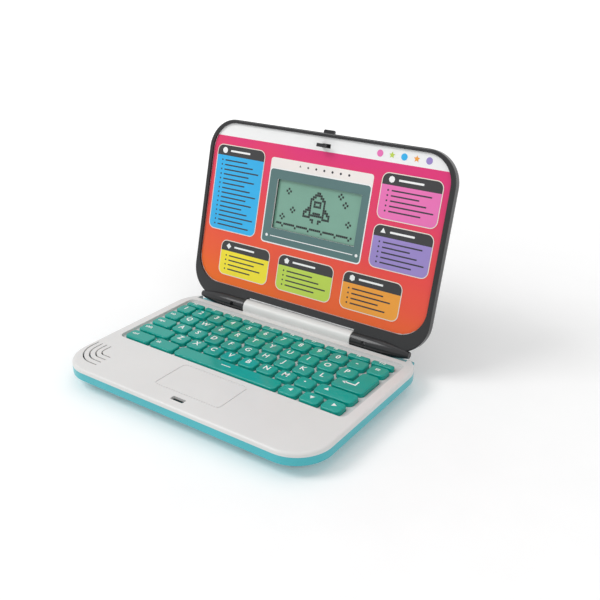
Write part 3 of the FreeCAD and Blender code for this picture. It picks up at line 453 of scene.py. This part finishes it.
# Cards: a colour, its left, low, width and height, and the sides of the mark in its header
CARD_PLACES = [
    ("cyan", -124, 70, 58, 84, 20), ("pink", 65, 114, 58, 40, 8), ("lilac", 65, 70, 58, 38, 3),
    ("yellow", -104, 26, 60, 34, 4), ("lime", -32, 26, 62, 34, 5), ("orange", 42, 26, 60, 34, 6),
]
CARD_CORNER, CARD_RIM, CARD_FOOT = 6, 0.8, 5
HEADER = 10.0
MARK_INSET, MARK_RADIUS = 9, 3
TITLE_INSET, TITLE_SHARE, TITLE_HALF, TITLE_ROUND = 16, 0.42, 0.9, 0.5
LINE_PITCH, LINE_INSET, LINE_HALF, LINE_ROUND = 4.6, 10.5, 0.65, 0.4
BULLET_INSET, BULLET_RADIUS, BULLET_SIDES = 7, 0.9, 10
SHORTEST_LINE, LINE_SPREAD, LINE_LENGTHS, LINE_SHUFFLE = 0.48, 0.26, 5, 7


def card_lines(left, top, width, height, shift):
    """The bullets and lines of a card, in uneven lengths that a shift sets."""
    loops = []
    for index in range(int((height - HEADER - CARD_FOOT) // LINE_PITCH)):
        y = top - HEADER - LINE_PITCH * (index + 1)
        step = (index * LINE_SHUFFLE + shift) % LINE_LENGTHS
        length = width * (SHORTEST_LINE + LINE_SPREAD * step / (LINE_LENGTHS - 1))
        start = left + LINE_INSET
        loops.append(regular(left + BULLET_INSET, y, BULLET_RADIUS, BULLET_SIDES))
        loops.append(spanned(start, y - LINE_HALF, start + length, y + LINE_HALF, LINE_ROUND))
    return loops


def cards():
    """Six cards of list lines, each with a dark header and a plain mark."""
    for name, left, low, width, height, sides in CARD_PLACES:
        right, top = left + width, low + height
        rim = spanned(left - CARD_RIM, low - CARD_RIM, right + CARD_RIM, top + CARD_RIM,
                      CARD_CORNER + CARD_RIM)
        outline = spanned(left, low, right, top, CARD_CORNER)
        title_x, title_y = left + TITLE_INSET, top - HEADER / 2
        title = spanned(title_x, title_y - TITLE_HALF, title_x + width * TITLE_SHARE, title_y + TITLE_HALF,
                        TITLE_ROUND)
        on_lid(f"card_edge_{name}", [rim], 5, CARD_EDGE)
        on_lid(f"card_{name}", [clipped(outline, 1, top - HEADER, False)], 6, CARDS[name])
        on_lid(f"header_{name}", [clipped(outline, 1, top - HEADER, True)], 6, HEAD)
        on_lid(f"title_{name}", [regular(left + MARK_INSET, title_y, MARK_RADIUS, sides), title], 7, PAPER)
        on_lid(f"lines_{name}", card_lines(left, top, width, height, sides), 7, INK_AND_SHADE)


# The display's picture, a row of pixels to a line
PICTURE = (
    "..........##..........",
    ".........####.........",
    "........##..##........",
    ".......##....##.......",
    ".......#.####.#.......",
    ".......#.#..#.#.......",
    ".......#.####.#.......",
    "......##......##......",
    ".....###......###.....",
    "....##.#.####.#.##....",
    "....#..########..#....",
    "....####......####....",
    "........##..##........",
    ".........#..#.........",
)
PICTURE_FROM_TOP = 6.5
PIXEL_PITCH, PIXEL_FILL, PIXEL_ROUND = 2.15, 0.94, 0.1
STARS = ((-34, 121), (-27, 104), (30, 118), (36, 101), (-38, 96), (24, 125))
STAR_ARMS = ((1, 0), (-1, 0), (0, 1), (0, -1))
GROUND_PIXELS, GROUND_INSET, GROUND_UP = 40, 4, 6
DIP_PITCH, FIRST_DIP = 7, 3


def display_picture():
    """A dark picture of squares on the display, with stars and a ground line."""
    def square(x, y):
        return rounded(x, y, PIXEL_PITCH * PIXEL_FILL, PIXEL_PITCH * PIXEL_FILL, PIXEL_ROUND, 1)

    glass_front = lid_box("display_glass")[1].z + FILM_GAP
    left_x = (WINDOW_LEFT + WINDOW_RIGHT - PIXEL_PITCH * len(PICTURE[0])) / 2
    top_y = WINDOW_TOP - PICTURE_FROM_TOP
    squares = [square(left_x + PIXEL_PITCH * (column + 0.5), top_y - PIXEL_PITCH * row)
               for row, line in enumerate(PICTURE) for column, mark in enumerate(line) if mark == "#"]
    for spot in range(GROUND_PIXELS):
        dip = PIXEL_PITCH if spot % DIP_PITCH == FIRST_DIP else 0
        squares.append(square(WINDOW_LEFT + GROUND_INSET + spot * PIXEL_PITCH, WINDOW_LOW + GROUND_UP - dip))
    for x, y in STARS:
        squares += [square(x + dx * PIXEL_PITCH, y + dy * PIXEL_PITCH) for dx, dy in STAR_ARMS]
    lay("picture", squares, glass_front, PIXEL, LID_MATRIX, "lid")


# Back and underside, in millimetres of a frame that looks at them

FLIP = Matrix.Rotation(math.pi, 4, "X")
CROSS_ARM, CROSS_HALF = 1.7, 0.38
GRIP_BARS, GRIP_PITCH, GRIP_RISE = 5, 2.6, 0.5
GRIP_FROM_EDGE = 7.0
BAR_LENGTH, BAR_WIDTH, BAR_ROUND = 16, 1.2, 0.5
GRIP_ARROW = 3


def cross_recess_shade(x, y):
    """The outline of a screwdriver cross, whose dark fill is painted shade for the recess."""
    corner = ((CROSS_HALF, CROSS_ARM), (CROSS_HALF, CROSS_HALF), (CROSS_ARM, CROSS_HALF))
    back = corner[::-1]
    quarters = ((1, 1, corner), (1, -1, back), (-1, -1, corner), (-1, 1, back))
    return [(x + side_x * dx, y + side_y * dy) for side_x, side_y, points in quarters for dx, dy in points]


def screw_recess_shades():
    """Painted shade for the driver recesses of the screws that show on the back and below: flat dark crosses
    on the heads.
    """
    for node, matrix, body in (("lid_screws", LID_MATRIX @ FLIP, "lid"), ("case_screws", FLIP, "base")):
        boxes = solid_boxes(node, matrix)
        front = max(high.z for _, high in boxes)
        shown = [(low + high) / 2 for low, high in boxes if front - high.z < FILM_GAP]
        recess_shades = [cross_recess_shade(middle.x, middle.y) for middle in shown]
        # Flat dark ink on the steel heads: painted shade standing in for the recess
        lay(f"crosses_{body}", recess_shades, front + FILM_GAP, INK_AND_SHADE, matrix, body)


def door_grip():
    """Raised bars and an arrow on the battery door, for a thumb."""
    (low, high), = solid_boxes("battery_door", FLIP)
    middle = (low.x + high.x) / 2
    first = low.y + GRIP_FROM_EDGE
    bars = [rounded(middle, first + GRIP_PITCH * index, BAR_LENGTH, BAR_WIDTH, BAR_ROUND)
            for index in range(GRIP_BARS)]
    bars.append(regular(middle, first + GRIP_PITCH * (GRIP_BARS + 1), GRIP_ARROW, 3))
    lay("door_grip", bars, high.z, TEAL, FLIP, "base", GRIP_RISE)


# Camera, light and floor, in metres and watts

CAMERA_PLACE = (0.3903, -0.4963, 0.3564)
CAMERA_AXIS = Vector((-0.51958, 0.74789, -0.41316))
CAMERA_LENS = 47.1
LIGHT_LEVEL = 0.5
FLOOR_COLOUR = (0.93, 0.93, 0.93)
FLOOR_REACH = 60.0
GLOW_NEAR, GLOW_FAR = 0.12, 0.6
GLOW_START, GLOW_END = 0.2, 1.6
LAMP_AIM = Vector((0, 0, 0.05))
LAMPS = {"key_lamp": ((-0.9, -0.9, 1.5), 0.9, 15), "fill_lamp": ((1.3, -0.8, 0.9), 1.0, 3),
         "top_lamp": ((0.1, 0.5, 1.7), 1.4, 4)}


def seen_share(tree, low, high):
    """A strength that is low where it lights the object, and high where the camera or gloss sees it."""
    path = tree.nodes.new("ShaderNodeLightPath")
    seen = path.outputs["Is Camera Ray"]
    for ray in ("Is Glossy Ray", "Is Transmission Ray"):
        either = tree.nodes.new("ShaderNodeMath")
        either.operation = "MAXIMUM"
        tree.links.new(seen, either.inputs[0])
        tree.links.new(path.outputs[ray], either.inputs[1])
        seen = either.outputs["Value"]
    share = add_node(tree, "ShaderNodeMapRange", To_Min=low, To_Max=high)
    tree.links.new(seen, share.inputs["Value"])
    return share.outputs["Result"]


def studio_world():
    """An even white surround."""
    world = bpy.data.worlds.new("studio")
    world.use_nodes = True
    tree = world.node_tree
    background = tree.nodes["Background"]
    background.inputs["Color"].default_value = (1, 1, 1, 1)
    tree.links.new(seen_share(tree, LIGHT_LEVEL, 1.0), background.inputs["Strength"])
    return world


def floor_material():
    """A pale floor that glows to white away from the object, where it is seen."""
    material = plastic("floor", FLOOR_COLOUR, 0.7, grain=0.01)
    tree = material.node_tree
    shader = tree.nodes["Principled BSDF"]
    shader.inputs["Emission Color"].default_value = (1, 1, 1, 1)
    place = tree.nodes.new("ShaderNodeTexCoord")
    reach = tree.nodes.new("ShaderNodeVectorMath")
    reach.operation = "LENGTH"
    tree.links.new(place.outputs["Object"], reach.inputs[0])
    glow = add_node(tree, "ShaderNodeMapRange", From_Min=GLOW_START, From_Max=GLOW_END, To_Min=GLOW_NEAR,
                    To_Max=GLOW_FAR)
    tree.links.new(reach.outputs["Value"], glow.inputs["Value"])
    seen = tree.nodes.new("ShaderNodeMath")
    seen.operation = "MULTIPLY"
    tree.links.new(glow.outputs["Result"], seen.inputs[0])
    tree.links.new(seen_share(tree, 0.0, 1.0), seen.inputs[1])
    tree.links.new(seen.outputs["Value"], shader.inputs["Emission Strength"])
    return material


def floor():
    """A wide flat floor, which keeps the object's shadow."""
    mesh = bpy.data.meshes.new("floor")
    corners = ((-1, -1), (1, -1), (1, 1), (-1, 1))
    mesh.from_pydata([(x * FLOOR_REACH, y * FLOOR_REACH, 0) for x, y in corners], [], [(0, 1, 2, 3)])
    mesh.materials.append(floor_material())
    ground = bpy.data.objects.new("floor", mesh)
    bpy.context.scene.collection.objects.link(ground)


def lamps():
    """Soft square lamps, each with its place, size and power, turned to the object."""
    for name, (place, size, power) in LAMPS.items():
        lamp = bpy.data.lights.new(name, "AREA")
        lamp.size = size
        lamp.energy = power
        thing = bpy.data.objects.new(name, lamp)
        thing.location = place
        thing.rotation_euler = (LAMP_AIM - Vector(place)).to_track_quat("-Z", "Y").to_euler()
        bpy.context.scene.collection.objects.link(thing)


def camera():
    """The camera at the photo's angle."""
    lens = bpy.data.cameras.new("camera")
    lens.lens = CAMERA_LENS
    eye = bpy.data.objects.new("camera", lens)
    eye.location = CAMERA_PLACE
    eye.rotation_euler = CAMERA_AXIS.to_track_quat("-Z", "Y").to_euler()
    bpy.context.scene.collection.objects.link(eye)
    bpy.context.scene.camera = eye


def stage():
    """A white surround, a pale floor, three lamps and the camera."""
    bpy.context.scene.view_settings.view_transform = "Standard"
    bpy.context.scene.world = studio_world()
    floor()
    lamps()
    camera()


finish_cad()
key_legends()
lid_print()
badges()
cards()
display_picture()
screw_recess_shades()
door_grip()
stage()
